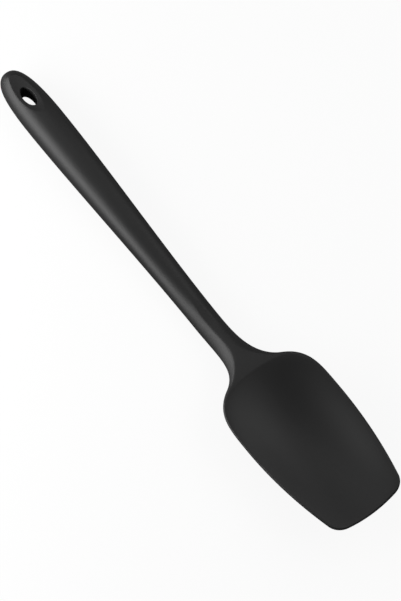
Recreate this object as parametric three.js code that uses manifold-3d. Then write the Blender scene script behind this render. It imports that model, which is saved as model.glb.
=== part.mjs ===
// A flat-ended silicone spoon: one seamless silicone skin moulded over a stainless core.
// Millimetres. X runs along the handle to the tip, Y across, Z up from the table it lies on.

import * as THREE from 'three';
import { mergeVertices } from 'three/addons/utils/BufferGeometryUtils.js';
import Module from 'manifold-3d';

const wasm = await Module();
wasm.setup();

// Runs along the spoon
const overallLength = 280;
const palmX = 33.2;           // butt to the widest place of the grip
const flareRun = 35.5;        // narrowest place of the neck to where the outline turns from hollow to round
const shoulderRun = 27.4;     // from there to the widest place of the scoop
const scoopRun = 56.7;        // widest place to the tip

// Widths of the plan
const palmWidth = 19.3;
const neckWidth = 12.7;
const flareWidth = 30.7;
const scoopWidth = 51.75;
const tipWidth = 35.6;        // between the points where the sides would meet the tip's edge
const tipCrown = 2;           // how far the tip's edge bulges in the middle
const cornerRun = 4.9;        // from such a meeting point to where the corner's round starts
const flareAngle = 59.2;      // degrees from the handle's line

// How far each curve of the plan keeps the direction that it starts or ends with
const buttEase = 6.9;
const palmEaseIn = 24.2;
const palmEaseOut = 34.3;
const neckEaseIn = 39.6;
const neckEaseOut = 15.4;
const flareEaseIn = 11.5;
const flareEaseOut = 12.8;
const shoulderEase = 12.2;
const cornerEase = 0.63;      // share of the corner's two tangents

// Heights above the table
const buttThickness = 12.4;
const palmThickness = 14;
const neckThickness = 10;
const flareRimHeight = 15.2;
const shoulderRimHeight = 16;
const tipRimHeight = 20.6;
const buttLift = 3;           // the underside rises this much towards the butt
const buttLiftRun = 26;       // from the butt to where that rise starts
const waistShare = 0.4;       // height of the grip's widest line, as a share of its thickness

// Rounding of the edges
const palmRoundTop = 1;       // share of the half width that is rounded over
const neckRoundTop = 1.35;    // over 1 the round would meet in a ridge, which the flat cuts off
const gripRoundUnder = 0.75;  // the rest is the flat that the handle lies on
const roundPower = 2;         // 2 is an ellipse
const flankPower = 1.3;       // 1 is a bevel
const bevelBefore = 50;       // the handle's flank starts to turn into a bevel this far before the neck
const blendAfter = 5;         // the edge is a thin lip this far after the flare
const flankRun = 20;          // the neck's flank starts to narrow this far after the neck

// The flat that cuts the round handle at its neck and runs on to the scoop's rim
const flatBefore = 14;        // it opens this far before the neck
const flatAfter = 12;         // and is fully there this far after it
const flatCut = 0.35;         // what it takes off the body, as a share of the flank's height

// Scoop
const lipThickness = 2;
const lipRound = 1;
const wallLean = 0.25;        // how far the walls lean outwards near the rim
const crescentRun = 35.5;     // neck to the edge where the flat drops into the scoop
const crescentBow = 1.8;      // how far the edge's ends lie behind its middle, at the flare's width
const entrySlope = -0.4;
const floorRun = 31;          // crescent edge to the lowest place of the floor
const floorHeight = 9;
const tipDepth = 2;           // the tip's edge dips this much below its corners
const tipSlope = 0.3;
const tipWall = 1.8;
const heelRun = 12;           // neck to where the underside leaves the table
const keelTipSlope = 0.33;

// Hanging hole in its dished end
const holeX = 19.85;
const holeLength = 11.9;
const holeWidth = 5.9;
const holeRimRound = 0.3;
const holeUnderRound = 0.7;
const dishLength = 28;
const dishWidth = 9.6;
const dishDepth = 1.68;       // below the grip's top at the hole
const dishSideRise = 0.55;    // from the hole to the dish's long sides
const dishEndRise = 1.54;
const dishTilt = 0.1;

// Stainless core
const coreThickness = 1.5;
const coreWidth = 7;
const coreFromHole = 6;       // hole's end to the core's start
const coreReach = 18;         // crescent edge to the core's end
const paddleWidth = 15;
const paddleRun = 26;         // over which the core widens into its paddle
const keyHoleDiameter = 3.6;
const keyHoleCount = 5;

// Plugs under the handle
const plugDiameter = 3.2;
const plugRecess = 0.3;

const fitGap = 0.3;           // between the core or a plug and the silicone round it

// Mesh fineness
const planSteps = [14, 20, 14, 12, 9, 6, 4];
const planSpread = [1, 2, 1, 1, 1, 1, 1];  // over 1 crowds the ribs towards the curve's start
const crescentCurve = 3;      // of the plan's curves, the one that the crescent edge runs out to
const crescentFade = 12;      // before the shoulder, over which the ribs straighten again
const rimRings = 2;
const middleRings = 4;
const edgeRings = 5;
const holeFan = 1.45;         // how the ribs spread round the hole
const spineCatchUp = 30;      // past the palm, over which the ribs straighten again
const tipFanRun = 40;         // before the tip, where the ribs start to fan out
const tipFanShare = 0.55;
const leastSlant = 0.3;       // of a rib to the outline, for the length of its rounded end
const mostRounded = 0.8;      // share of a rib, clear of the hole's round, that may be rounded
const roundSegments = 20;
const coreSteps = 36;
const halvingEnd = 1e-6;      // share of a curve to which the crescent edge's end is found
const weldDistance = 1e-4;

const tipX = overallLength;
const shoulderX = tipX - scoopRun;
const flareX = shoulderX - shoulderRun;
const neckX = flareX - flareRun;
const crescentX = neckX + crescentRun;
const lowX = crescentX + floorRun;
const heelX = neckX + heelRun;
const holeEndX = holeX + holeLength / 2;
const coreStartX = holeEndX + coreFromHole;
const coreEndX = crescentX + coreReach;
const reach = tipX;           // longer than any cut needs to be

const siliconeBlack = new THREE.MeshStandardMaterial({ color: 0x262626, roughness: 0.55, metalness: 0 });
const plugBlack = new THREE.MeshStandardMaterial({ color: 0x222222, roughness: 0.6, metalness: 0 });
const stainless = new THREE.MeshStandardMaterial({ color: 0xb9bcbe, roughness: 0.35, metalness: 1 });

// Curves

function smoothStep(from, to, x) {
  return THREE.MathUtils.smoothstep(x, from, to);
}

// A cubic from (x0, z0) to (x1, z1) with the given slopes at its ends.
function hermite(x, x0, z0, slope0, x1, z1, slope1) {
  const run = x1 - x0;
  const t = (x - x0) / run;
  const fall = 2 * t ** 3 - 3 * t ** 2 + 1;
  const ease = run * (slope0 * (t ** 3 - 2 * t ** 2 + t) + slope1 * (t ** 3 - t ** 2));
  return z0 * fall + z1 * (1 - fall) + ease;
}

// A smooth line through knots [x, z] that never swings past a knot.
function profile(x, knots) {
  const chords = knots.slice(1).map(([kx, kz], i) => (kz - knots[i][1]) / (kx - knots[i][0]));
  const slopes = knots.map((_, i) => {
    const before = chords[Math.max(i - 1, 0)];
    const after = chords[Math.min(i, chords.length - 1)];
    return before * after <= 0 ? 0 : (2 * before * after) / (before + after);
  });
  let i = 0;
  while (i < knots.length - 2 && x > knots[i + 1][0]) i += 1;
  return hermite(x, ...knots[i], slopes[i], ...knots[i + 1], slopes[i + 1]);
}

// Plan of one half, from the butt to the tip

function sideHalf(x) {
  const share = (x - shoulderX) / scoopRun;
  return (scoopWidth - (scoopWidth - tipWidth) * share ** 2) / 2;
}

function planCurves() {
  const at = (x, y) => new THREE.Vector2(x, y);
  const flareTurn = THREE.MathUtils.degToRad(flareAngle);
  const flareDirection = at(Math.cos(flareTurn), Math.sin(flareTurn));
  const butt = at(0, 0);
  const palm = at(palmX, palmWidth / 2);
  const neck = at(neckX, neckWidth / 2);
  const flare = at(flareX, flareWidth / 2);
  const shoulder = at(shoulderX, scoopWidth / 2);
  const cornerX = tipX - tipCrown - cornerRun;
  const sideEnd = at(cornerX, sideHalf(cornerX));
  const edgeHalf = tipWidth / 2 - cornerRun;
  const edgeStart = at(tipX - tipCrown * ((2 * edgeHalf) / tipWidth) ** 2, edgeHalf);
  const tip = at(tipX, 0);
  const sideMiddle = at((shoulderX + cornerX) / 2, scoopWidth / 2);
  const edgeMiddle = at(tipX, edgeHalf / 2);
  const sideSlope = sideEnd.clone().sub(sideMiddle);
  const edgeSlope = edgeStart.clone().sub(edgeMiddle);
  const between = edgeStart.clone().sub(sideEnd);
  const along = between.cross(edgeSlope) / sideSlope.cross(edgeSlope);
  const cornerPoint = sideEnd.clone().addScaledVector(sideSlope, along);
  return [
    new THREE.CubicBezierCurve(butt, at(0, buttEase), at(palmX - palmEaseIn, palm.y), palm),
    new THREE.CubicBezierCurve(palm, at(palmX + palmEaseOut, palm.y), at(neckX - neckEaseIn, neck.y), neck),
    new THREE.CubicBezierCurve(
      neck, at(neckX + neckEaseOut, neck.y),
      flare.clone().addScaledVector(flareDirection, -flareEaseIn), flare),
    new THREE.CubicBezierCurve(
      flare, flare.clone().addScaledVector(flareDirection, flareEaseOut),
      at(shoulderX - shoulderEase, shoulder.y), shoulder),
    new THREE.QuadraticBezierCurve(shoulder, sideMiddle, sideEnd),
    new THREE.CubicBezierCurve(
      sideEnd, sideEnd.clone().lerp(cornerPoint, cornerEase),
      edgeStart.clone().lerp(cornerPoint, cornerEase), edgeStart),
    new THREE.QuadraticBezierCurve(edgeStart, edgeMiddle, tip),
  ];
}

// Heights along the spoon

// The top of the grip and neck, which runs on as the scoop's rim.
function deck(x) {
  return profile(x, [
    [0, buttThickness], [palmX, palmThickness], [neckX, neckThickness],
    [flareX, flareRimHeight], [shoulderX, shoulderRimHeight], [tipX, tipRimHeight],
  ]);
}

function gripThickness(x) {
  return profile(x, [
    [0, buttThickness], [palmX, palmThickness], [neckX, neckThickness], [tipX, neckThickness],
  ]);
}

// The middle of the scoop's floor. Before the crescent edge it lies above the deck and cuts nothing.
function scoopFloor(x) {
  const edgeHeight = deck(crescentX);
  if (x < crescentX) return edgeHeight + entrySlope * (x - crescentX);
  if (x < lowX) return hermite(x, crescentX, edgeHeight, entrySlope, lowX, floorHeight, 0);
  return hermite(x, lowX, floorHeight, 0, tipX, tipRimHeight - tipDepth, tipSlope);
}

// The lowest line of the underside.
function keel(x) {
  if (x < heelX) return buttLift * (1 - smoothStep(0, buttLiftRun, x));
  return hermite(x, heelX, 0, 0, tipX, tipRimHeight - tipDepth - tipWall, keelTipSlope);
}

// How far the round grip has turned into a thin-lipped scoop, 0 to 1.
function scoopShare(x) {
  return smoothStep(neckX, flareX + blendAfter, x);
}

// How far the flank of the neck has narrowed to a lip, 0 to 1.
function lipShare(x) {
  return smoothStep(neckX + flankRun, flareX + blendAfter, x);
}

// How far the flat of the neck has opened in the round top, 0 to 1.
function flatShare(x) {
  return smoothStep(neckX - flatBefore, neckX + flatAfter, x);
}

// The flank turns from a round into a bevel as the neck flares out.
function powerTop(x) {
  return THREE.MathUtils.lerp(roundPower, flankPower, smoothStep(neckX - bevelBefore, flareX, x));
}

// Height of the widest line, where the two halves of the mould part.
function waist(x) {
  return THREE.MathUtils.lerp(waistShare * gripThickness(x), deck(x) - lipThickness / 2, scoopShare(x));
}

// Outer surface

// Rises from 0 at the edge to 1 at the rounding's inner end.
function edgeRise(distance, round, power) {
  const left = Math.max(0, 1 - distance / round);
  return (1 - left ** power) ** (1 / power);
}

// Distance from the outline to where the round body meets the flat.
function flankWidth(x, round) {
  const power = powerTop(x);
  return round * (1 - (1 - (1 + flatCut * flatShare(x)) ** -power) ** (1 / power));
}

// Plan distance from the hole's edge.
function fromHole(x, y) {
  const u = (2 * (x - holeX)) / holeLength;
  const v = (2 * y) / holeWidth;
  const radial = Math.hypot(u, v);
  const steepness = Math.hypot((2 * u) / holeLength, (2 * v) / holeWidth) / radial;
  return (radial - 1) / steepness;
}

// How far a surface turns into the hole at this place.
function rimDrop(x, y, round) {
  const left = Math.max(0, 1 - Math.max(0, fromHole(x, y)) / round);
  return round * (1 - Math.sqrt(1 - left ** 2));
}

function dish(x, y) {
  const u = (2 * (x - holeX)) / dishLength;
  const v = (2 * y) / dishWidth;
  return deck(holeX) - dishDepth + dishTilt * (x - holeX) + dishEndRise * u ** 2 + dishSideRise * v ** 2;
}

// How far the crescent edge lies behind its middle at this place across.
function bowAt(y) {
  return crescentBow * ((2 * y) / flareWidth) ** 2;
}

// How far up its wall the scoop has come at this place across, 0 to 1.
function wallShare(y, half) {
  const across = Math.min(1, Math.abs(y) / half);
  return across ** 2 * (1 + wallLean * (1 - across ** 4));
}

// How far the scoop's hollow lies below the deck.
function hollowDepth(x, y, half) {
  const level = x - bowAt(y);
  return Math.max(0, deck(level) - scoopFloor(level)) * (1 - wallShare(y, half));
}

// The edge's dip is how much lower the widest line lies at this rib, as it does along the tip.
function topHeight(x, y, half, edge) {
  const open = deck(x) - hollowDepth(x, y, half);
  const crown = open + flatCut * flatShare(x) * (deck(x) - waist(x));
  const rise = edgeRise(edge.distance, edge.round, powerTop(x));
  const body = THREE.MathUtils.lerp(waist(x) - edge.dip, crown, rise);
  return Math.min(body, open, dish(x, y)) - rimDrop(x, y, holeRimRound);
}

function underHeight(x, y, half, edge) {
  const open = keel(x) + (waist(x) - lipThickness / 2 - keel(x)) * scoopShare(x) * wallShare(y, half);
  const rise = edgeRise(edge.distance, edge.round, roundPower);
  return THREE.MathUtils.lerp(waist(x) - edge.dip, open, rise) + rimDrop(x, y, holeUnderRound);
}

function roundTop(x, half) {
  const share = THREE.MathUtils.lerp(palmRoundTop, neckRoundTop, flatShare(x));
  return THREE.MathUtils.lerp(share * half, lipRound, lipShare(x));
}

function roundUnder(x, half) {
  return THREE.MathUtils.lerp(gripRoundUnder * half, lipRound, scoopShare(x));
}

// How far a rib's outer end lies behind its spine, so that the ribs follow the crescent edge.
function ribBow(edge) {
  const fadeIn = smoothStep(neckX, flareX, edge.x);
  const fadeOut = smoothStep(shoulderX - crescentFade, shoulderX, edge.x);
  return fadeIn * (1 - fadeOut) * bowAt(edge.y);
}

// Where along a plan curve the crescent edge runs out, found by halving.
function crescentEnd(curve) {
  let [low, high] = [0, 1];
  while (high - low > halvingEnd) {
    const middle = (low + high) / 2;
    const edge = curve.getPointAt(middle);
    if (edge.x - ribBow(edge) < crescentX) low = middle;
    else high = middle;
  }
  return low;
}

// Shares of a plan curve where ribs end.
// On the crescent's curve the nearest rib moves onto the crescent edge.
function ribShares(curve, c) {
  const shares = Array.from({ length: planSteps[c] + 1 }, (_, i) => (i / planSteps[c]) ** planSpread[c]);
  if (c === crescentCurve) {
    const end = crescentEnd(curve);
    const nearest = Math.round(end * planSteps[c]);
    if (nearest > 0 && nearest < planSteps[c]) shares[nearest] = end;
  }
  return c === 0 ? shares : shares.slice(1);
}

// Ribs run from a spine to the outline. The spine goes round the hole and then along the middle.
function ribs() {
  const list = [];
  planCurves().forEach((curve, c) => {
    ribShares(curve, c).forEach((along) => {
      const edge = curve.getPointAt(along);
      const tangent = curve.getTangentAt(along);
      const inward = new THREE.Vector2(tangent.y, -tangent.x);
      const onHole = c === 0;
      const spine = new THREE.Vector2();
      if (onHole) {
        const angle = Math.PI * (1 - along ** holeFan);
        spine.set(holeX + (holeLength / 2) * Math.cos(angle), (holeWidth / 2) * Math.sin(angle));
      } else {
        const lag = (palmX - holeEndX) * (1 - smoothStep(palmX, palmX + spineCatchUp, edge.x));
        const fanned = Math.max(0, edge.x - (tipX - tipFanRun)) * (1 - tipFanShare);
        spine.set(edge.x - lag - fanned - ribBow(edge), 0);
      }
      list.push({ edge, inward, spine, onHole });
    });
  });
  return list;
}

// Half width that the scoop's hollow is measured by: past the corner the side's own line runs on.
function hollowHalf(x, edge) {
  return x > shoulderX ? sideHalf(x) : Math.max(edge.y, neckWidth / 2);
}

// Half width that the grip's rounding is measured by.
function gripHalf({ edge, onHole }) {
  if (onHole) return palmWidth / 2;
  return edge.x < neckX ? edge.y : neckWidth / 2;
}

function ribPoints(rib, { height, roundAt, edgeWidth, holeRound }) {
  const { edge, inward, spine, onHole } = rib;
  const length = edge.distanceTo(spine);
  const round = roundAt(edge.x, gripHalf(rib));
  const dip = hollowDepth(edge.x, edge.y, hollowHalf(edge.x, edge));
  const slant = Math.max(inward.dot(spine.clone().sub(edge)) / length, leastSlant);
  const mostRun = mostRounded * (onHole ? length - holeRound : length);
  const edgeRun = Math.min(edgeWidth(edge.x, round) / slant, mostRun);
  const rimRun = onHole ? holeRound : (length - edgeRun) * (rimRings / (rimRings + middleRings));
  const fromSpine = [];
  for (let k = 0; k < rimRings; k += 1) {
    const turn = (Math.PI / 2) * (k / rimRings);
    fromSpine.push(onHole ? rimRun * (1 - Math.cos(turn)) : rimRun * (k / rimRings));
  }
  for (let k = 0; k < middleRings; k += 1) {
    fromSpine.push(rimRun + (length - edgeRun - rimRun) * (k / middleRings));
  }
  for (let k = 0; k <= edgeRings; k += 1) {
    fromSpine.push(length - edgeRun * (1 - Math.sin((Math.PI / 2) * (k / edgeRings))));
  }
  return fromSpine.map((run) => {
    const share = run / length;
    const place = edge.clone().lerp(spine, 1 - share);
    place.x -= ribBow(edge) * share * (1 - share);
    const distance = Math.max(0, inward.dot(place.clone().sub(edge)));
    const z = height(place.x, place.y, hollowHalf(place.x, edge), { distance, round, dip });
    return new THREE.Vector3(place.x, place.y, z);
  });
}

function outerGeometry() {
  const list = ribs();
  const wholeRound = (x, round) => round;
  const upper = {
    height: topHeight, roundAt: roundTop, edgeWidth: flankWidth, holeRound: holeRimRound,
  };
  const lower = {
    height: underHeight, roundAt: roundUnder, edgeWidth: wholeRound, holeRound: holeUnderRound,
  };
  const top = list.map((rib) => ribPoints(rib, upper));
  const under = list.map((rib) => ribPoints(rib, lower));
  const triangles = [];
  const quad = (a, b, c, d) => triangles.push(a, b, c, a, c, d);
  for (let i = 0; i + 1 < list.length; i += 1) {
    for (let k = 0; k + 1 < top[i].length; k += 1) {
      quad(top[i][k], top[i + 1][k], top[i + 1][k + 1], top[i][k + 1]);
      quad(under[i][k], under[i][k + 1], under[i + 1][k + 1], under[i + 1][k]);
    }
    if (list[i + 1].onHole) quad(top[i][0], under[i][0], under[i + 1][0], top[i + 1][0]);
  }
  const positions = [];
  triangles.forEach((p) => positions.push(p.x, p.y, p.z));
  for (let i = 0; i < triangles.length; i += 3) {
    [triangles[i], triangles[i + 2], triangles[i + 1]].forEach((p) => positions.push(p.x, -p.y, p.z));
  }
  const geometry = new THREE.BufferGeometry();
  geometry.setAttribute('position', new THREE.Float32BufferAttribute(positions, 3));
  return geometry;
}

// Solids for cutting and joining

function solidOf(geometry) {
  const bare = geometry.clone();
  bare.deleteAttribute('normal');
  bare.deleteAttribute('uv');
  const merged = mergeVertices(bare, weldDistance);
  return new wasm.Manifold(new wasm.Mesh({
    numProp: 3,
    vertProperties: new Float32Array(merged.attributes.position.array),
    triVerts: new Uint32Array(merged.index.array),
  }));
}

function geometryOf(solid) {
  const { vertProperties, triVerts } = solid.getMesh();
  const geometry = new THREE.BufferGeometry();
  geometry.setAttribute('position', new THREE.BufferAttribute(vertProperties, 3));
  geometry.setIndex(new THREE.BufferAttribute(triVerts, 1));
  geometry.computeVertexNormals();
  return geometry;
}

// An upright round bar from one height to another.
function upright(diameter, x, fromZ, toZ) {
  const bar = new THREE.CylinderGeometry(diameter / 2, diameter / 2, toZ - fromZ, roundSegments);
  return bar.rotateX(Math.PI / 2).translate(x, 0, (fromZ + toZ) / 2);
}

// Core

// Middle of the silicone's thickness, which the core follows.
function middleHeight(x) {
  return (Math.min(deck(x), scoopFloor(x)) + keel(x)) / 2;
}

function coreHeight(x) {
  return profile(x, [palmX, neckX, coreEndX].map((place) => [place, middleHeight(place)]));
}

// The core's plan and side view are extruded across each other; grow makes the room round it.
function coreSolid(grow) {
  const half = coreWidth / 2 + grow;
  const paddleHalf = paddleWidth / 2 + grow;
  const startX = coreStartX + coreWidth / 2;
  const endX = coreEndX - paddleWidth / 2;
  const widenX = endX - paddleRun;
  const plan = new THREE.Shape();
  plan.absarc(startX, 0, half, Math.PI / 2, (3 * Math.PI) / 2);
  plan.lineTo(widenX, -half);
  plan.bezierCurveTo(widenX + paddleRun / 2, -half, endX - paddleRun / 2, -paddleHalf, endX, -paddleHalf);
  plan.absarc(endX, 0, paddleHalf, -Math.PI / 2, Math.PI / 2);
  plan.bezierCurveTo(endX - paddleRun / 2, paddleHalf, widenX + paddleRun / 2, half, widenX, half);
  const straight = { depth: reach, bevelEnabled: false, curveSegments: roundSegments };
  const upwards = new THREE.ExtrudeGeometry(plan, straight).translate(0, 0, -reach / 2);

  const thick = coreThickness / 2 + grow;
  const fromX = coreStartX - coreWidth / 2;
  const step = (coreEndX + coreWidth / 2 - fromX) / coreSteps;
  const places = Array.from({ length: coreSteps + 1 }, (_, i) => fromX + i * step);
  const lower = places.map((x) => new THREE.Vector2(x, coreHeight(x) - thick));
  const upper = places.map((x) => new THREE.Vector2(x, coreHeight(x) + thick));
  const side = new THREE.Shape([...lower, ...upper.reverse()]);
  const across = new THREE.ExtrudeGeometry(side, straight).rotateX(Math.PI / 2).translate(0, reach / 2, 0);

  let solid = solidOf(upwards).intersect(solidOf(across));
  keyHolePlaces().forEach((x) => {
    solid = solid.subtract(solidOf(upright(keyHoleDiameter - 2 * grow, x, -reach, reach)));
  });
  return solid;
}

// Key holes lie evenly along the strip, clear of its round start and of the paddle's end.
function keyHolePlaces() {
  const first = coreStartX + coreWidth;
  const last = coreEndX - paddleWidth / 2;
  return Array.from({ length: keyHoleCount }, (_, i) => first + ((last - first) * i) / (keyHoleCount - 1));
}

// Plugs

// The mould's pins held the core up midway between key holes, one towards each end of the handle.
function plugPlaces() {
  const holes = keyHolePlaces();
  const midway = (i) => (holes[i] + holes[i + 1]) / 2;
  return { palm: midway(0), neck: midway(holes.length - 3) };
}

function plugGeometry(x) {
  return upright(plugDiameter, x, plugRecess, coreHeight(x) - coreThickness / 2 - fitGap);
}

// Skin

function skinGeometry() {
  let skin = solidOf(outerGeometry()).subtract(coreSolid(fitGap));
  Object.values(plugPlaces()).forEach((x) => {
    skin = skin.subtract(solidOf(upright(plugDiameter + 2 * fitGap, x, -reach, coreHeight(x))));
  });
  return geometryOf(skin);
}

function piece(name, geometry, material) {
  const mesh = new THREE.Mesh(geometry, material);
  mesh.name = name;
  return mesh;
}

const spoon = new THREE.Group();
spoon.position.x = -tipX / 2;
spoon.add(piece('silicone_skin', skinGeometry(), siliconeBlack));
spoon.add(piece('steel_core', geometryOf(coreSolid(0)), stainless));
spoon.add(piece('palm_plug', plugGeometry(plugPlaces().palm), plugBlack));
spoon.add(piece('neck_plug', plugGeometry(plugPlaces().neck), plugBlack));

export default spoon;
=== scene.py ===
"""Looks of the silicone spoon: the smooth moulded skin, its finishes, the studio and the camera."""
import math

import bmesh
import bpy
import numpy as np
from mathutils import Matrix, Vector


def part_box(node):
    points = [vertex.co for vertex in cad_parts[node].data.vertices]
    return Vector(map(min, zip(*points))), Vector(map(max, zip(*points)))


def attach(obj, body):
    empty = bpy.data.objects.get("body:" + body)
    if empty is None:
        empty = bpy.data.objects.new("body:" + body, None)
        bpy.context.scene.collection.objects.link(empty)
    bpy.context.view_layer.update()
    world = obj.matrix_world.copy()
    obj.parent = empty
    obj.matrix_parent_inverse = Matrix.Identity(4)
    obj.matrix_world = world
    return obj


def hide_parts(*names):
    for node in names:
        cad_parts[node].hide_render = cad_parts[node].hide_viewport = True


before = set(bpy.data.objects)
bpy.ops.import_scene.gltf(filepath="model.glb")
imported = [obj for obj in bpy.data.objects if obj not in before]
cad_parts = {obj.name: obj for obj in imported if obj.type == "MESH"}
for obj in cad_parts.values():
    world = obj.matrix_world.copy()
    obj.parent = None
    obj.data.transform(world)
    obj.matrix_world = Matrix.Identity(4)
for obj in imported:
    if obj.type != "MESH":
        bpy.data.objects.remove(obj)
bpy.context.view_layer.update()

MM = 0.001

# Runs along the spoon, in millimetres from the butt of the handle
OVERALL_LENGTH = 280
PALM_X = 33.2
FLARE_RUN = 35.5
SHOULDER_RUN = 27.4
SCOOP_RUN = 56.7

# Widths of the plan, in millimetres
PALM_WIDTH = 19.3
NECK_WIDTH = 12.7
FLARE_WIDTH = 30.7
SCOOP_WIDTH = 51.75
TIP_WIDTH = 35.6
TIP_CROWN = 2
CORNER_RUN = 4.9
FLARE_ANGLE = math.radians(59.2)

# How far each curve of the plan keeps the direction that it starts or ends with, in millimetres
BUTT_EASE = 6.9
PALM_EASE_IN = 24.2
PALM_EASE_OUT = 34.3
NECK_EASE_IN = 39.6
NECK_EASE_OUT = 15.4
FLARE_EASE_IN = 11.5
FLARE_EASE_OUT = 12.8
SHOULDER_EASE = 12.2
CORNER_EASE = 0.63

# Heights above the table, in millimetres
BUTT_THICKNESS = 12.4
PALM_THICKNESS = 14
NECK_THICKNESS = 10
FLARE_RIM_HEIGHT = 15.2
SHOULDER_RIM_HEIGHT = 16
TIP_RIM_HEIGHT = 20.6
BUTT_LIFT = 3
BUTT_LIFT_RUN = 26
WAIST_SHARE = 0.4

# Rounding of the edges
PALM_ROUND_TOP = 1
NECK_ROUND_TOP = 1.35
GRIP_ROUND_UNDER = 0.75
ROUND_POWER = 2
FLANK_POWER = 1.3
BEVEL_BEFORE = 50
BLEND_AFTER = 5
FLANK_RUN = 20

# The flat that cuts the round handle at its neck and runs on to the scoop's rim
FLAT_BEFORE = 14
FLAT_AFTER = 12
FLAT_CUT = 0.35
NECK_SOFTNESS = 0.5
LIP_SOFTNESS = 0.12

# Scoop
LIP_THICKNESS = 2
LIP_ROUND = 1
WALL_LEAN = 0.25
CRESCENT_RUN = 35.5
CRESCENT_BOW = 1.8
CRESCENT_SOFTNESS = 0.05
ENTRY_SLOPE = -0.4
FLOOR_RUN = 31
FLOOR_HEIGHT = 9
TIP_DEPTH = 2
TIP_SLOPE = 0.3
TIP_WALL = 1.8
HEEL_RUN = 12
KEEL_TIP_SLOPE = 0.33

# Hanging hole in its dished end
HOLE_X = 19.85
HOLE_LENGTH = 11.9
HOLE_WIDTH = 5.9
HOLE_RIM_ROUND = 0.2
HOLE_UNDER_ROUND = 0.7
DISH_LENGTH = 28
DISH_WIDTH = 9.6
DISH_DEPTH = 1.68
DISH_SIDE_RISE = 0.55
DISH_END_RISE = 1.54
DISH_TILT = 0.1
DISH_EDGE_SOFTNESS = 0.12

# Plugs under the handle, placed by the solids
PLUG_DIAMETER = 3.2
PLUG_RECESS = 0.3
PLUG_DOME = 0.15
PLUG_EDGE_ROUND = 0.25
BORE_MOUTH_ROUND = 0.3
FIT_GAP = 0.3

# Mesh fineness
PLAN_STEPS = (56, 84, 52, 44, 40, 24, 18)
PLAN_SPREAD = (1, 1.6, 1, 1, 1, 1, 1)
CRESCENT_CURVE = 3
RIM_RINGS = 5
MIDDLE_RINGS = 10
EDGE_RINGS = 16
WALL_RINGS = 8
CREASE_HALF = 0.3
CRESCENT_HALF = 0.25
CRESCENT_FADE = 12
HOLE_FAN = 1.45
SPINE_CATCH_UP = 30
TIP_FAN_RUN = 40
TIP_FAN_SHARE = 0.55
LEAST_SLANT = 0.3
MOST_ROUNDED = 0.8
CURVE_SAMPLES = 400
LATHE_STEPS = 64
ARC_STEPS = 6
DOME_SHARES = (0, 0.5)
SPINE_PARTS = 3
WELD = 1e-6
SHARP_ANGLE = math.radians(50)

# The mould's parting line round the widest edge
PARTING_REACH = 0.3

# Finishes
SILICONE_IOR = 1.41
SILICONE_SPECULAR = 0.5
SKIN_DEEP = (0.0034, 0.0034, 0.0035)
SKIN_PALE = (0.0050, 0.0050, 0.0051)
SKIN_ROUGH = (0.48, 0.54)
PLUG_DEEP = (0.003, 0.003, 0.0031)
PLUG_PALE = (0.0044, 0.0044, 0.0045)
PLUG_ROUGH = (0.5, 0.58)
HOLE_WALL_DULLNESS = 0.4
GRAIN_SCALE = 3500.0
GRAIN_STRENGTH = 0.1
GRAIN_DEPTH = 0.00002
CLOUD_SCALE = 45.0
STEEL_DARK = (0.5, 0.51, 0.52)
STEEL_BRIGHT = (0.68, 0.69, 0.7)
STEEL_ROUGH = (0.25, 0.42)
ROLLING_SCALE = (60, 3000, 3000)

# Studio: the floor's colour for the spoon and as the camera sees it, its size in metres, and the sky
FLOOR_COLOUR = (0.22, 0.22, 0.22)
FLOOR_COLOUR_SEEN = (0.78, 0.78, 0.78)
FLOOR_WHITE_SEEN = 0.9
FLOOR_WHITE_MIRRORED = 0.03
FLOOR_HALF = 6
FLOOR_DROP = 0.0002
WORLD_LEVEL = 0.22

# The camera, found from the photograph's outline, in degrees, metres and pixels
IMAGE_WIDTH = 401
IMAGE_HEIGHT = 601
CAMERA_AZIMUTH = -36.87
CAMERA_ELEVATION = 66.91
CAMERA_DISTANCE = 0.9
CAMERA_TARGET = Vector((0, 0, 0.008))
FOCAL_PIXELS = 1954
TARGET_PIXEL = (178.92, 283.94)
SENSOR = 36
CLIP_START = 0.01

TIP_X = OVERALL_LENGTH
SHOULDER_X = TIP_X - SCOOP_RUN
FLARE_X = SHOULDER_X - SHOULDER_RUN
NECK_X = FLARE_X - FLARE_RUN
CRESCENT_X = NECK_X + CRESCENT_RUN
LOW_X = CRESCENT_X + FLOOR_RUN
HEEL_X = NECK_X + HEEL_RUN
HOLE_END_X = HOLE_X + HOLE_LENGTH / 2


# Curves

def lerp(a, b, share):
    return a + (b - a) * share


def smooth_step(start, end, x):
    t = np.clip((x - start) / (end - start), 0, 1)
    return t * t * (3 - 2 * t)


def hermite(x, x0, z0, slope0, x1, z1, slope1):
    """A cubic from (x0, z0) to (x1, z1) with the given slopes at its ends."""
    run = x1 - x0
    t = (x - x0) / run
    fall = 2 * t**3 - 3 * t**2 + 1
    ease = run * (slope0 * (t**3 - 2 * t**2 + t) + slope1 * (t**3 - t**2))
    return z0 * fall + z1 * (1 - fall) + ease


def profile(x, knots):
    """A smooth line through knots (x, z) that never swings past a knot."""
    knots = np.array(knots, float)
    chords = np.diff(knots[:, 1]) / np.diff(knots[:, 0])
    before = np.append(chords[:1], chords)
    after = np.append(chords, chords[-1:])
    turns = before * after <= 0
    slopes = np.where(turns, 0, 2 * before * after / np.where(turns, 1, before + after))
    i = np.searchsorted(knots[1:-1, 0], x)
    j = i + 1
    return hermite(x, knots[i, 0], knots[i, 1], slopes[i], knots[j, 0], knots[j, 1], slopes[j])


def bezier(points, t):
    layer = [np.tile(np.asarray(p, float), (len(t), 1)) for p in points]
    while len(layer) > 1:
        layer = [lerp(a, b, t[:, None]) for a, b in zip(layer, layer[1:])]
    return layer[0]


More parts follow.
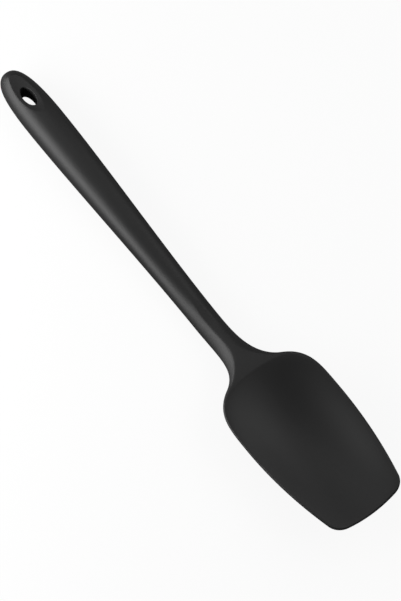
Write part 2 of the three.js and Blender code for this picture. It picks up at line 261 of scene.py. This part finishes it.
def along(points, shares):
    """Places and directions at these shares of a curve's length."""
    fine = np.linspace(0, 1, CURVE_SAMPLES)
    steps = np.diff(bezier(points, fine), axis=0)
    length = np.append(0, np.cumsum(np.hypot(steps[:, 0], steps[:, 1])))
    t = np.interp(shares * length[-1], length, fine)
    direction = bezier(np.diff(np.array(points, float), axis=0), t)
    direction /= np.linalg.norm(direction, axis=1)[:, None]
    return bezier(points, t), direction


# Plan of one half, from the butt to the tip

def side_half(x):
    share = (x - SHOULDER_X) / SCOOP_RUN
    return (SCOOP_WIDTH - (SCOOP_WIDTH - TIP_WIDTH) * share**2) / 2


def at(x, y):
    return np.array((x, y), float)


def cross(a, b):
    return a[0] * b[1] - a[1] * b[0]


def plan_curves():
    turn = at(math.cos(FLARE_ANGLE), math.sin(FLARE_ANGLE))
    palm = at(PALM_X, PALM_WIDTH / 2)
    neck = at(NECK_X, NECK_WIDTH / 2)
    flare = at(FLARE_X, FLARE_WIDTH / 2)
    shoulder = at(SHOULDER_X, SCOOP_WIDTH / 2)
    corner_x = TIP_X - TIP_CROWN - CORNER_RUN
    side_end = at(corner_x, side_half(corner_x))
    edge_half = TIP_WIDTH / 2 - CORNER_RUN
    edge_start = at(TIP_X - TIP_CROWN * (2 * edge_half / TIP_WIDTH) ** 2, edge_half)
    side_middle = at((SHOULDER_X + corner_x) / 2, SCOOP_WIDTH / 2)
    edge_middle = at(TIP_X, edge_half / 2)
    side_way = side_end - side_middle
    edge_way = edge_start - edge_middle
    gap = edge_start - side_end
    corner = side_end + side_way * cross(gap, edge_way) / cross(side_way, edge_way)
    return [
        [at(0, 0), at(0, BUTT_EASE), at(PALM_X - PALM_EASE_IN, palm[1]), palm],
        [palm, at(PALM_X + PALM_EASE_OUT, palm[1]), at(NECK_X - NECK_EASE_IN, neck[1]), neck],
        [neck, at(NECK_X + NECK_EASE_OUT, neck[1]), flare - turn * FLARE_EASE_IN, flare],
        [flare, flare + turn * FLARE_EASE_OUT, at(SHOULDER_X - SHOULDER_EASE, shoulder[1]), shoulder],
        [shoulder, side_middle, side_end],
        [side_end, lerp(side_end, corner, CORNER_EASE), lerp(edge_start, corner, CORNER_EASE), edge_start],
        [edge_start, edge_middle, at(TIP_X, 0)],
    ]


# Heights along the spoon

GRIP_KNOTS = [(0, BUTT_THICKNESS), (PALM_X, PALM_THICKNESS), (NECK_X, NECK_THICKNESS)]
RIM_KNOTS = [(FLARE_X, FLARE_RIM_HEIGHT), (SHOULDER_X, SHOULDER_RIM_HEIGHT), (TIP_X, TIP_RIM_HEIGHT)]


def deck(x):
    """The top of the grip and neck, which runs on as the scoop's rim."""
    return profile(x, GRIP_KNOTS + RIM_KNOTS)


def grip_thickness(x):
    return profile(x, GRIP_KNOTS + [(TIP_X, NECK_THICKNESS)])


def scoop_floor(x):
    """The middle of the scoop's floor. Before the crescent edge it lies above the deck."""
    edge = deck(np.array(CRESCENT_X))
    entry = edge + ENTRY_SLOPE * (x - CRESCENT_X)
    dip = hermite(x, CRESCENT_X, edge, ENTRY_SLOPE, LOW_X, FLOOR_HEIGHT, 0)
    rise = hermite(x, LOW_X, FLOOR_HEIGHT, 0, TIP_X, TIP_RIM_HEIGHT - TIP_DEPTH, TIP_SLOPE)
    return np.where(x < CRESCENT_X, entry, np.where(x < LOW_X, dip, rise))


def keel(x):
    """The lowest line of the underside."""
    tip = TIP_RIM_HEIGHT - TIP_DEPTH - TIP_WALL
    grip = BUTT_LIFT * (1 - smooth_step(0, BUTT_LIFT_RUN, x))
    return np.where(x < HEEL_X, grip, hermite(x, HEEL_X, 0, 0, TIP_X, tip, KEEL_TIP_SLOPE))


def scoop_share(x):
    """How far the round grip has turned into a thin-lipped scoop, 0 to 1."""
    return smooth_step(NECK_X, FLARE_X + BLEND_AFTER, x)


def lip_share(x):
    """How far the flank of the neck has narrowed to a lip, 0 to 1."""
    return smooth_step(NECK_X + FLANK_RUN, FLARE_X + BLEND_AFTER, x)


def flat_cut(x):
    """What the flat takes off the round body, as a share of the height that it leaves of the flank."""
    return FLAT_CUT * flat_share(x)


def flank_power(x):
    """The flank turns from a round into a bevel as the neck flares out."""
    return lerp(ROUND_POWER, FLANK_POWER, smooth_step(NECK_X - BEVEL_BEFORE, FLARE_X, x))


def flat_share(x):
    """How far the flat of the neck has opened in the round top, 0 to 1."""
    return smooth_step(NECK_X - FLAT_BEFORE, NECK_X + FLAT_AFTER, x)


def waist(x):
    """Height of the widest line, where the two halves of the mould part."""
    return lerp(WAIST_SHARE * grip_thickness(x), deck(x) - LIP_THICKNESS / 2, scoop_share(x))


# Outer surface

def soft_max(a, b, softness):
    return (a + b + np.sqrt((a - b) ** 2 + softness**2)) / 2


def edge_rise(distance, rounding, power):
    """Rises from 0 at the edge to 1 at the rounding's inner end. A power of 2 is an ellipse."""
    left = np.maximum(0, 1 - distance / rounding)
    return (1 - left**power) ** (1 / power)


def rim_drop(x, y, rounding):
    """How far a surface turns into the hole at this place."""
    u = 2 * (x - HOLE_X) / HOLE_LENGTH
    v = 2 * y / HOLE_WIDTH
    radial = np.hypot(u, v)
    steepness = np.hypot(2 * u / HOLE_LENGTH, 2 * v / HOLE_WIDTH) / radial
    distance = np.maximum(0, (radial - 1) / steepness)
    left = np.maximum(0, 1 - distance / rounding)
    return rounding * (1 - np.sqrt(1 - left**2))


def dish(x, y):
    u = 2 * (x - HOLE_X) / DISH_LENGTH
    v = 2 * y / DISH_WIDTH
    base = deck(np.array(HOLE_X)) - DISH_DEPTH + DISH_TILT * (x - HOLE_X)
    return base + DISH_END_RISE * u**2 + DISH_SIDE_RISE * v**2


def crescent_bow(y):
    """How far the crescent edge lies behind its middle at this place across."""
    return CRESCENT_BOW * (2 * y / FLARE_WIDTH) ** 2


def wall_share(y, half):
    """How far up its wall the scoop has come at this place across, 0 to 1.

    Near the rim the wall leans outwards.
    """
    across = np.minimum(1, np.abs(y) / half)
    return across**2 * (1 + WALL_LEAN * (1 - across**4))


def hollow_depth(x, y, half):
    """How far the scoop's hollow lies below the deck."""
    level = x - crescent_bow(y)
    return soft_max(0, deck(level) - scoop_floor(level), CRESCENT_SOFTNESS) * (1 - wall_share(y, half))


def rounded_top(x, y, half, distance, rounding, dip):
    """The dip is how far the widest line lies lower at this rib, as it does along the tip."""
    open_height = deck(x) - hollow_depth(x, y, half)
    cut_away = flat_cut(x) * (deck(x) - waist(x))
    body = lerp(waist(x) - dip, open_height + cut_away, edge_rise(distance, rounding, flank_power(x)))
    softness = lerp(NECK_SOFTNESS, LIP_SOFTNESS, lip_share(x)) * flat_share(x)
    flattened = -soft_max(-body, -open_height, softness)
    return np.where(distance > 0, flattened, body)


def top_height(x, y, half, distance, rounding, dip):
    rounded = rounded_top(x, y, half, distance, rounding, dip)
    dished = -soft_max(-rounded, -dish(x, y), DISH_EDGE_SOFTNESS) - rim_drop(x, y, HOLE_RIM_ROUND)
    return np.where(distance > 0, dished, rounded)


def under_height(x, y, half, distance, rounding, dip):
    lift = (waist(x) - LIP_THICKNESS / 2 - keel(x)) * scoop_share(x) * wall_share(y, half)
    body = lerp(waist(x) - dip, keel(x) + lift, edge_rise(distance, rounding, ROUND_POWER))
    return body + rim_drop(x, y, HOLE_UNDER_ROUND)


def rib_bow(edge):
    """How far a rib's outer end lies behind its spine, so that the ribs follow the crescent edge."""
    x, y = edge[..., 0], edge[..., 1]
    fade = smooth_step(NECK_X, FLARE_X, x) * (1 - smooth_step(SHOULDER_X - CRESCENT_FADE, SHOULDER_X, x))
    return fade * crescent_bow(y)


def with_crescent(points, shares):
    """The shares of a curve with three added, for ribs on the crescent edge and just beside it."""
    fine = np.linspace(0, 1, CURVE_SAMPLES)
    edges, _ = along(points, fine)
    levels = edges[:, 0] - rib_bow(edges)
    beside = CRESCENT_X + CRESCENT_HALF * np.array((-1, 0, 1))
    found = np.interp(beside, levels, fine)
    apart = np.min(np.abs(shares[:, None] - found), axis=1) > CRESCENT_HALF / np.ptp(levels)
    return np.sort(np.append(shares[apart | (shares == 1)], found))


def ribs():
    """Ribs from a spine to the outline. The spine goes round the hole and then along the middle."""
    found = []
    for c, points in enumerate(plan_curves()):
        on_hole = c == 0
        shares = np.linspace(0, 1, PLAN_STEPS[c] + 1)[0 if on_hole else 1:] ** PLAN_SPREAD[c]
        if c == CRESCENT_CURVE:
            shares = with_crescent(points, shares)
        for share, edge, direction in zip(shares, *along(points, shares)):
            inward = np.array((direction[1], -direction[0]))
            if on_hole:
                angle = math.pi * (1 - share**HOLE_FAN)
                spine = (HOLE_X + HOLE_LENGTH / 2 * math.cos(angle), HOLE_WIDTH / 2 * math.sin(angle))
            else:
                lag = (PALM_X - HOLE_END_X) * (1 - smooth_step(PALM_X, PALM_X + SPINE_CATCH_UP, edge[0]))
                fanned = max(0, edge[0] - (TIP_X - TIP_FAN_RUN)) * (1 - TIP_FAN_SHARE)
                spine = (edge[0] - lag - fanned - rib_bow(edge), 0)
            found.append((edge, inward, np.array(spine), on_hole))
    return found


def rounding_top(x, half):
    return lerp(lerp(PALM_ROUND_TOP, NECK_ROUND_TOP, flat_share(x)) * half, LIP_ROUND, lip_share(x))


def rounding_under(x, half):
    return lerp(GRIP_ROUND_UNDER * half, LIP_ROUND, scoop_share(x))


def flank_width(x, rounding):
    """Distance from the outline to where the round body meets the flat."""
    power = flank_power(x)
    return rounding * (1 - (1 - (1 + flat_cut(x)) ** -power) ** (1 / power))


def hollow_half(x, edge):
    """Half width that the scoop's hollow is measured by: past the corner the side's own line runs on."""
    return np.where(x > SHOULDER_X, side_half(x), max(edge[1], NECK_WIDTH / 2))


def rib_lines(rib, rounding_at, height, on_top):
    """The points of one rib from its spine to the outline, with their distance from the outline."""
    edge, inward, spine, on_hole = rib
    way = edge - spine
    length = np.linalg.norm(way)
    grip_half = edge[1] if PALM_X < edge[0] < NECK_X else (PALM_WIDTH if on_hole else NECK_WIDTH) / 2
    rounding = rounding_at(edge[0], grip_half)
    slant = max(-inward @ way / length, LEAST_SLANT)
    edge_width = flank_width(edge[0], rounding) if on_top else rounding
    edge_run = min(edge_width / slant, MOST_ROUNDED * length)
    hole_round = HOLE_RIM_ROUND if on_top else HOLE_UNDER_ROUND
    dip = hollow_depth(edge[0], edge[1], hollow_half(edge[0], edge))

    def measures(runs):
        back = 1 - runs / length
        places = edge - way * back[:, None]
        places[:, 0] -= rib_bow(edge) * back * (1 - back)
        x, y = places.T
        distance = np.maximum(0, (places - edge) @ inward)
        return x, y, hollow_half(x, edge), distance, rounding, dip

    crease = length - edge_run
    if on_top:
        tries = np.linspace(0, length, CURVE_SAMPLES)
        sizes = measures(tries)
        below = dish(sizes[0], sizes[1]) < rounded_top(*sizes)
        if below[0] and edge[0] < NECK_X:
            crease = tries[np.argmin(below)]
    rim = hole_round if on_hole else min(crease, edge_run) / SPINE_PARTS
    crease = max(crease, rim + 2 * CREASE_HALF)
    turn = np.linspace(0, math.pi / 2, RIM_RINGS, endpoint=False)
    rim_runs = rim * ((1 - np.cos(turn)) if on_hole else turn / (math.pi / 2))
    middle_runs = np.linspace(rim, crease - CREASE_HALF, MIDDLE_RINGS, endpoint=False)
    crease_runs = crease + np.array((-CREASE_HALF, 0))
    outer = np.sin(np.linspace(0, math.pi / 2, EDGE_RINGS))
    edge_runs = lerp(crease + CREASE_HALF, length, outer)
    runs = np.concatenate([rim_runs, middle_runs, crease_runs, edge_runs])
    sizes = measures(runs)
    return np.column_stack([sizes[0], sizes[1], height(*sizes)]), length - runs


def grid_faces(numbers):
    """Quads between neighbouring rows and columns of a grid of vertex numbers."""
    a, b = numbers[:-1, :-1], numbers[1:, :-1]
    c, d = numbers[1:, 1:], numbers[:-1, 1:]
    return np.stack([a, b, c, d], axis=-1).reshape(-1, 4)


def skin_mesh():
    """The whole outside of the spoon as one closed mesh.

    The parting line and the hanging hole's wall are marked on its vertices.
    """
    all_ribs = ribs()
    top = [rib_lines(rib, rounding_top, top_height, True) for rib in all_ribs]
    under = [rib_lines(rib, rounding_under, under_height, False) for rib in all_ribs]
    hole_ribs = sum(rib[3] for rib in all_ribs)
    shares = np.linspace(0, 1, WALL_RINGS + 1)[:, None]
    walls = [lerp(top[i][0][0], under[i][0][0], shares) for i in range(hole_ribs)]
    grids = [np.array([line for line, _ in top]), np.array([line for line, _ in under]), np.array(walls)]
    from_edge = [np.array([run for _, run in top]), np.array([run for _, run in under])]
    marks = [np.clip(1 - run / PARTING_REACH, 0, 1) for run in from_edge] + [np.zeros(grids[2].shape[:2])]

    points, faces, parting, hole_wall = [], [], [], []
    count = 0
    for grid, mark, facing, inside in zip(grids, marks, (1, -1, -1), (0, 0, 1)):
        for side in (1, -1):
            numbers = count + np.arange(mark.size).reshape(mark.shape)
            quads = grid_faces(numbers)
            faces.append(quads if facing * side > 0 else quads[:, ::-1])
            points.append(grid.reshape(-1, 3) * (1, side, 1))
            parting.append(mark.ravel())
            hole_wall.append(np.full(mark.size, float(inside)))
            count += mark.size
    points = (np.concatenate(points) - (TIP_X / 2, 0, 0)) * MM

    mesh = bpy.data.meshes.new("spoon_skin")
    mesh.from_pydata(points.tolist(), [], np.concatenate(faces).tolist())
    for name, values in (("parting", parting), ("hole_wall", hole_wall)):
        layer = mesh.attributes.new(name, "FLOAT", "POINT")
        layer.data.foreach_set("value", np.concatenate(values))
    work = bmesh.new()
    work.from_mesh(mesh)
    bmesh.ops.remove_doubles(work, verts=work.verts, dist=WELD)
    bmesh.ops.dissolve_degenerate(work, edges=work.edges, dist=WELD)
    work.to_mesh(mesh)
    work.free()
    return mesh


# Small turned pieces

def turned(name, outline, x):
    """A piece turned about an upright axis at x, from (radius, height) points, all in metres."""
    angles = np.linspace(0, 2 * math.pi, LATHE_STEPS, endpoint=False)
    radius, height = np.array(outline).T
    rings = np.stack([
        x + np.outer(radius, np.cos(angles)),
        np.outer(radius, np.sin(angles)),
        np.tile(height[:, None], (1, LATHE_STEPS)),
    ], axis=-1)
    numbers = np.arange(rings[..., 0].size).reshape(rings.shape[:2])
    closed = np.column_stack([numbers, numbers[:, :1]])
    mesh = bpy.data.meshes.new(name)
    mesh.from_pydata(rings.reshape(-1, 3).tolist(), [], grid_faces(closed)[:, ::-1].tolist())
    work = bmesh.new()
    work.from_mesh(mesh)
    bmesh.ops.remove_doubles(work, verts=work.verts, dist=WELD)
    bmesh.ops.recalc_face_normals(work, faces=work.faces)
    work.to_mesh(mesh)
    work.free()
    return show(name, mesh)


def quarter_round(centre, radius, start_turn, end_turn):
    """Points of an arc round a centre, in the plane of radius and height."""
    turns = np.linspace(start_turn, end_turn, ARC_STEPS)
    return [(centre[0] + radius * math.cos(t), centre[1] + radius * math.sin(t)) for t in turns]


def show(name, mesh):
    piece = bpy.data.objects.new(name, mesh)
    bpy.context.scene.collection.objects.link(piece)
    return piece


def smooth(piece):
    piece.data.shade_smooth()
    piece.data.set_sharp_from_angle(angle=SHARP_ANGLE)


def cut(piece, tool):
    """Takes a tool's shape out of a piece and deletes the tool."""
    step = piece.modifiers.new("cut", "BOOLEAN")
    step.operation = "DIFFERENCE"
    step.solver = "EXACT"
    step.object = tool
    bpy.context.view_layer.objects.active = piece
    bpy.ops.object.modifier_apply(modifier=step.name)
    bpy.data.objects.remove(tool)


def plug_place(node):
    low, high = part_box(node)
    return (low.x + high.x) / 2, high.z


def bore_tool(node):
    """The plug's bore with a rounded mouth, as a solid to cut with."""
    x, top = plug_place(node)
    radius = (PLUG_DIAMETER / 2 + FIT_GAP) * MM
    mouth = BORE_MOUTH_ROUND * MM
    arc = quarter_round((radius + mouth, mouth), mouth, -math.pi / 2, -math.pi)
    end = top + FIT_GAP * MM
    outline = [(0, -mouth), (radius + mouth, -mouth)] + arc + [(radius, end), (0, end)]
    return turned(node + "_bore", outline, x)


def plug_piece(node):
    """A plug with a slightly domed face and a rounded edge."""
    x, top = plug_place(node)
    radius = PLUG_DIAMETER / 2 * MM
    rounding = PLUG_EDGE_ROUND * MM
    face = PLUG_RECESS * MM
    arc = quarter_round((radius - rounding, face + rounding), rounding, -math.pi / 2, 0)
    outline = [(radius * share, face - PLUG_DOME * MM * (1 - share**2)) for share in DOME_SHARES]
    outline += arc + [(radius, top), (0, top)]
    return turned(node + "_domed", outline, x)


# Finishes

def add_node(tree, kind, **values):
    """A shader node with its settings and the values of its unlinked inputs."""
    node = tree.nodes.new(kind)
    for name, value in values.items():
        if name.startswith("in_"):
            node.inputs[name[3:].replace("_", " ").title()].default_value = value
        else:
            setattr(node, name, value)
    return node


def moulded_texture():
    """Fine grain, soft clouds, a parting line and a dull hole, for every moulded silicone surface."""
    group = bpy.data.node_groups.new("moulded_texture", "ShaderNodeTree")
    sockets = (
        ("Deep Tone", "INPUT", "NodeSocketColor"),
        ("Pale Tone", "INPUT", "NodeSocketColor"),
        ("Grain Scale", "INPUT", "NodeSocketFloat"),
        ("Roughness Low", "INPUT", "NodeSocketFloat"),
        ("Roughness High", "INPUT", "NodeSocketFloat"),
        ("Hole Dullness", "INPUT", "NodeSocketFloat"),
        ("Colour", "OUTPUT", "NodeSocketColor"),
        ("Roughness", "OUTPUT", "NodeSocketFloat"),
        ("Height", "OUTPUT", "NodeSocketFloat"),
    )
    for name, way, kind in sockets:
        group.interface.new_socket(name, in_out=way, socket_type=kind)
    taken = add_node(group, "NodeGroupInput")
    given = add_node(group, "NodeGroupOutput")
    place = add_node(group, "ShaderNodeTexCoord")
    grain = add_node(group, "ShaderNodeTexNoise", in_detail=3.0, in_roughness=0.6)
    clouds = add_node(group, "ShaderNodeTexNoise", in_scale=CLOUD_SCALE, in_detail=4.0, in_roughness=0.55)
    parting = add_node(group, "ShaderNodeAttribute", attribute_name="parting")
    hole_wall = add_node(group, "ShaderNodeAttribute", attribute_name="hole_wall")
    dull = add_node(group, "ShaderNodeMath", operation="MULTIPLY_ADD")
    tone = add_node(group, "ShaderNodeMix", data_type="RGBA")
    spread = add_node(group, "ShaderNodeMapRange")
    ridge = add_node(group, "ShaderNodeMath", operation="ADD")
    link = group.links.new
    link(place.outputs["Object"], grain.inputs["Vector"])
    link(place.outputs["Object"], clouds.inputs["Vector"])
    link(taken.outputs["Grain Scale"], grain.inputs["Scale"])
    link(clouds.outputs["Fac"], tone.inputs["Factor"])
    link(taken.outputs["Deep Tone"], tone.inputs["A"])
    link(taken.outputs["Pale Tone"], tone.inputs["B"])
    link(clouds.outputs["Fac"], spread.inputs["Value"])
    link(taken.outputs["Roughness Low"], spread.inputs["To Min"])
    link(taken.outputs["Roughness High"], spread.inputs["To Max"])
    link(grain.outputs["Fac"], ridge.inputs[0])
    link(parting.outputs["Fac"], ridge.inputs[1])
    link(tone.outputs["Result"], given.inputs["Colour"])
    link(hole_wall.outputs["Fac"], dull.inputs[0])
    link(taken.outputs["Hole Dullness"], dull.inputs[1])
    link(spread.outputs["Result"], dull.inputs[2])
    link(dull.outputs["Value"], given.inputs["Roughness"])
    link(ridge.outputs["Value"], given.inputs["Height"])
    return group


def fresh_material(name):
    material = bpy.data.materials.new(name)
    material.use_nodes = True
    tree = material.node_tree
    tree.nodes.clear()
    shader = add_node(tree, "ShaderNodeBsdfPrincipled")
    output = add_node(tree, "ShaderNodeOutputMaterial")
    tree.links.new(shader.outputs["BSDF"], output.inputs["Surface"])
    return material, tree, shader


def silicone(name, texture, deep, pale, rough):
    material, tree, shader = fresh_material(name)
    shader.inputs["IOR"].default_value = SILICONE_IOR
    shader.inputs["Specular IOR Level"].default_value = SILICONE_SPECULAR
    detail = add_node(tree, "ShaderNodeGroup", node_tree=texture)
    detail.inputs["Deep Tone"].default_value = (*deep, 1)
    detail.inputs["Pale Tone"].default_value = (*pale, 1)
    detail.inputs["Grain Scale"].default_value = GRAIN_SCALE
    detail.inputs["Roughness Low"].default_value = rough[0]
    detail.inputs["Roughness High"].default_value = rough[1]
    detail.inputs["Hole Dullness"].default_value = HOLE_WALL_DULLNESS
    bump = add_node(tree, "ShaderNodeBump", in_strength=GRAIN_STRENGTH, in_distance=GRAIN_DEPTH)
    link = tree.links.new
    link(detail.outputs["Colour"], shader.inputs["Base Color"])
    link(detail.outputs["Roughness"], shader.inputs["Roughness"])
    link(detail.outputs["Height"], bump.inputs["Height"])
    link(bump.outputs["Normal"], shader.inputs["Normal"])
    return material


def rolled_stainless():
    """The core's strip: bright steel with fine marks along the way it was rolled."""
    material, tree, shader = fresh_material("rolled_stainless")
    shader.inputs["Metallic"].default_value = 1
    place = add_node(tree, "ShaderNodeTexCoord")
    stretch = add_node(tree, "ShaderNodeMapping", in_scale=ROLLING_SCALE)
    marks = add_node(tree, "ShaderNodeTexNoise", in_scale=1.0, in_detail=3.0)
    tone = add_node(tree, "ShaderNodeMix", data_type="RGBA")
    tone.inputs["A"].default_value = (*STEEL_DARK, 1)
    tone.inputs["B"].default_value = (*STEEL_BRIGHT, 1)
    spread = add_node(tree, "ShaderNodeMapRange", in_to_min=STEEL_ROUGH[0], in_to_max=STEEL_ROUGH[1])
    link = tree.links.new
    link(place.outputs["Object"], stretch.inputs["Vector"])
    link(stretch.outputs["Vector"], marks.inputs["Vector"])
    link(marks.outputs["Fac"], tone.inputs["Factor"])
    link(marks.outputs["Fac"], spread.inputs["Value"])
    link(tone.outputs["Result"], shader.inputs["Base Color"])
    link(spread.outputs["Result"], shader.inputs["Roughness"])
    return material


def pale_floor():
    """A pale floor that shows as white in the background and keeps part of the spoon's shadow."""
    material = bpy.data.materials.new("pale_floor")
    material.use_nodes = True
    tree = material.node_tree
    tree.nodes.clear()
    path = add_node(tree, "ShaderNodeLightPath")
    seen = add_node(tree, "ShaderNodeMath", operation="MULTIPLY")
    seen.inputs[1].default_value = FLOOR_WHITE_SEEN
    indirect = add_node(tree, "ShaderNodeMath", operation="MAXIMUM")
    mirrored = add_node(tree, "ShaderNodeMath", operation="MULTIPLY")
    mirrored.inputs[1].default_value = FLOOR_WHITE_MIRRORED
    share = add_node(tree, "ShaderNodeMath", operation="MAXIMUM")
    tone = add_node(tree, "ShaderNodeMix", data_type="RGBA")
    tone.inputs["A"].default_value = (*FLOOR_COLOUR, 1)
    tone.inputs["B"].default_value = (*FLOOR_COLOUR_SEEN, 1)
    pale = add_node(tree, "ShaderNodeBsdfDiffuse")
    white = add_node(tree, "ShaderNodeEmission", in_color=(1, 1, 1, 1), in_strength=1.0)
    mix = add_node(tree, "ShaderNodeMixShader")
    output = add_node(tree, "ShaderNodeOutputMaterial")
    link = tree.links.new
    link(path.outputs["Is Camera Ray"], seen.inputs[0])
    link(path.outputs["Is Camera Ray"], tone.inputs["Factor"])
    link(tone.outputs["Result"], pale.inputs["Color"])
    link(path.outputs["Is Glossy Ray"], indirect.inputs[0])
    link(path.outputs["Is Transmission Ray"], indirect.inputs[1])
    link(indirect.outputs["Value"], mirrored.inputs[0])
    link(seen.outputs["Value"], share.inputs[0])
    link(mirrored.outputs["Value"], share.inputs[1])
    link(share.outputs["Value"], mix.inputs["Fac"])
    link(pale.outputs["BSDF"], mix.inputs[1])
    link(white.outputs["Emission"], mix.inputs[2])
    link(mix.outputs["Shader"], output.inputs["Surface"])
    return material


texture = moulded_texture()
skin_finish = silicone("black_silicone", texture, SKIN_DEEP, SKIN_PALE, SKIN_ROUGH)
plug_finish = silicone("plug_silicone", texture, PLUG_DEEP, PLUG_PALE, PLUG_ROUGH)
steel_finish = rolled_stainless()

# Pieces

skin = show("spoon_skin", skin_mesh())
for node in ("palm_plug", "neck_plug"):
    cut(skin, bore_tool(node))
    plug = plug_piece(node)
    smooth(plug)
    plug.data.materials.append(plug_finish)
    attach(plug, "root")
    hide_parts(node)
smooth(skin)
skin.data.materials.clear()
skin.data.materials.append(skin_finish)
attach(skin, "root")
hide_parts("silicone_skin")

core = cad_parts["steel_core"]
core.data.materials.clear()
core.data.materials.append(steel_finish)

# Studio

def floor_plane():
    h = FLOOR_HALF
    mesh = bpy.data.meshes.new("floor")
    corners = [(-h, -h, -FLOOR_DROP), (h, -h, -FLOOR_DROP), (h, h, -FLOOR_DROP), (-h, h, -FLOOR_DROP)]
    mesh.from_pydata(corners, [], [(0, 1, 2, 3)])
    mesh.materials.append(pale_floor())
    return show("floor", mesh)


def toward(azimuth, elevation):
    """Unit vector to a place seen from the spoon, with azimuth in degrees from +X towards +Y."""
    a, e = math.radians(azimuth), math.radians(elevation)
    return Vector((math.cos(e) * math.cos(a), math.cos(e) * math.sin(a), math.sin(e)))


def panel(name, aim_x, azimuth, elevation, distance, width, height, radiance):
    """A soft flat lamp that faces a place along the spoon."""
    lamp = bpy.data.lights.new(name, "AREA")
    lamp.shape = "RECTANGLE"
    lamp.size = width
    lamp.size_y = height
    lamp.energy = radiance * math.pi * width * height
    piece = bpy.data.objects.new(name, lamp)
    way = toward(azimuth, elevation)
    piece.location = Vector((aim_x, 0, 0)) + way * distance
    piece.rotation_euler = way.to_track_quat("Z", "Y").to_euler()
    bpy.context.scene.collection.objects.link(piece)


floor_plane()
panel(
    "back_panel", aim_x=0, azimuth=72, elevation=43,
    distance=0.9, width=1.0, height=0.44, radiance=2.35,
)
panel(
    "low_back_panel", aim_x=0, azimuth=112, elevation=24,
    distance=0.9, width=0.4, height=0.3, radiance=0.7,
)
panel(
    "top_panel", aim_x=0, azimuth=160, elevation=58,
    distance=0.9, width=0.5, height=0.42, radiance=1.45,
)
panel(
    "left_panel", aim_x=-0.08, azimuth=241, elevation=23,
    distance=0.32, width=0.5, height=0.19, radiance=7.9,
)

world = bpy.data.worlds.new("studio")
bpy.context.scene.world = world
world.use_nodes = True
backdrop = world.node_tree.nodes["Background"]
backdrop.inputs["Color"].default_value = (1, 1, 1, 1)
backdrop.inputs["Strength"].default_value = WORLD_LEVEL
bpy.context.scene.view_settings.view_transform = "Standard"

# Camera

lens = bpy.data.cameras.new("camera")
lens.sensor_fit = "VERTICAL"
lens.sensor_height = SENSOR
lens.lens = SENSOR * FOCAL_PIXELS / IMAGE_HEIGHT
lens.shift_x = ((IMAGE_WIDTH - 1) / 2 - TARGET_PIXEL[0]) / IMAGE_HEIGHT
lens.shift_y = (TARGET_PIXEL[1] - (IMAGE_HEIGHT - 1) / 2) / IMAGE_HEIGHT
lens.clip_start = CLIP_START
camera = bpy.data.objects.new("camera", lens)
camera_way = toward(CAMERA_AZIMUTH, CAMERA_ELEVATION)
camera.location = CAMERA_TARGET + camera_way * CAMERA_DISTANCE
camera.rotation_euler = camera_way.to_track_quat("Z", "Y").to_euler()
bpy.context.scene.collection.objects.link(camera)
bpy.context.scene.camera = camera
